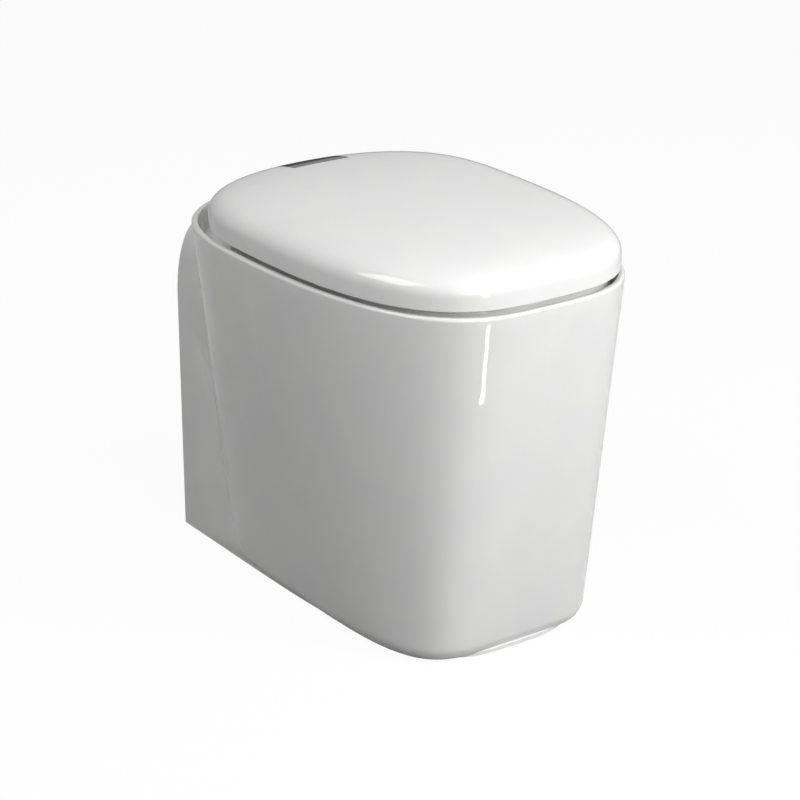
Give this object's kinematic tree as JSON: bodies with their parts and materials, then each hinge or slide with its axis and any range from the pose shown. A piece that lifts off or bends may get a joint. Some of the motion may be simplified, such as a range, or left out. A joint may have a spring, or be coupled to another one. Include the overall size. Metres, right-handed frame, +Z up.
{
  "type": "back-to-wall toilet",
  "caption": "Ceramic back-to-wall toilet pan with a horizontal outlet, a hinged soft-close seat ring and a domed lid on one top-fixed hinge.",
  "frame": {"origin": "centre of the bounding box on the finished floor, which the foot stands on", "axes": "+Z up, +Y towards the wall behind the pan, -Y towards the front of the bowl, X across"},
  "size_m": [0.375, 0.551, 0.4762],
  "materials": {
    "china": "gloss",
    "seat_plastic": "gloss",
    "hinge_plastic": "satin",
    "damper_plastic": "satin",
    "bush_plastic": "satin",
    "buffer_rubber": "matte",
    "seal_rubber": "matte",
    "chromed_metal": "polished",
    "stainless": "satin",
    "bracket_plastic": "satin",
    "sleeve_plastic": "satin"
  },
  "bodies": {
    "pan_assembly": {"pan": "china", "hinge_base": "stainless", "dead_pins": "stainless", "hinge_housing": "hinge_plastic", "hinge_cover": "chromed_metal", "housing_screws": "stainless", "lid_damper": "damper_plastic", "seat_damper": "damper_plastic", "fixing_washers": "seal_rubber", "fixing_bolts": "stainless", "expanding_sleeves": "sleeve_plastic", "inlet_seal": "seal_rubber", "floor_bracket_left": "bracket_plastic", "floor_bracket_right": "bracket_plastic", "floor_washers": "stainless", "floor_screws": "stainless", "clamp_screws": "stainless", "clamp_pads": "sleeve_plastic"},
    "seat": {"seat_ring": "seat_plastic", "seat_drive_arm": "stainless", "seat_free_arm": "stainless", "seat_arm_screws": "stainless", "seat_bush": "bush_plastic", "seat_buffers": "buffer_rubber", "seat_damper_shaft": "stainless"},
    "lid": {"lid": "seat_plastic", "lid_drive_arm": "stainless", "lid_free_arm": "stainless", "lid_arm_screws": "stainless", "lid_bush": "bush_plastic", "lid_buffers": "buffer_rubber", "lid_damper_shaft": "stainless"}
  },
  "joints": [
    {"name": "lid_hinge", "type": "hinge", "parent": "pan_assembly", "child": "lid", "pos_m": [0, 0.1975, 0.4286], "axis": [-1, 0, 0], "range_deg": [0, 92]},
    {"name": "seat_hinge", "type": "hinge", "parent": "pan_assembly", "child": "seat", "pos_m": [0, 0.1975, 0.4286], "axis": [-1, 0, 0], "range_deg": [0, 87.5]}
  ],
  "couplings": [
    {"joint": "seat_hinge", "follows": "lid_hinge", "ratio": 0.95}
  ]
}
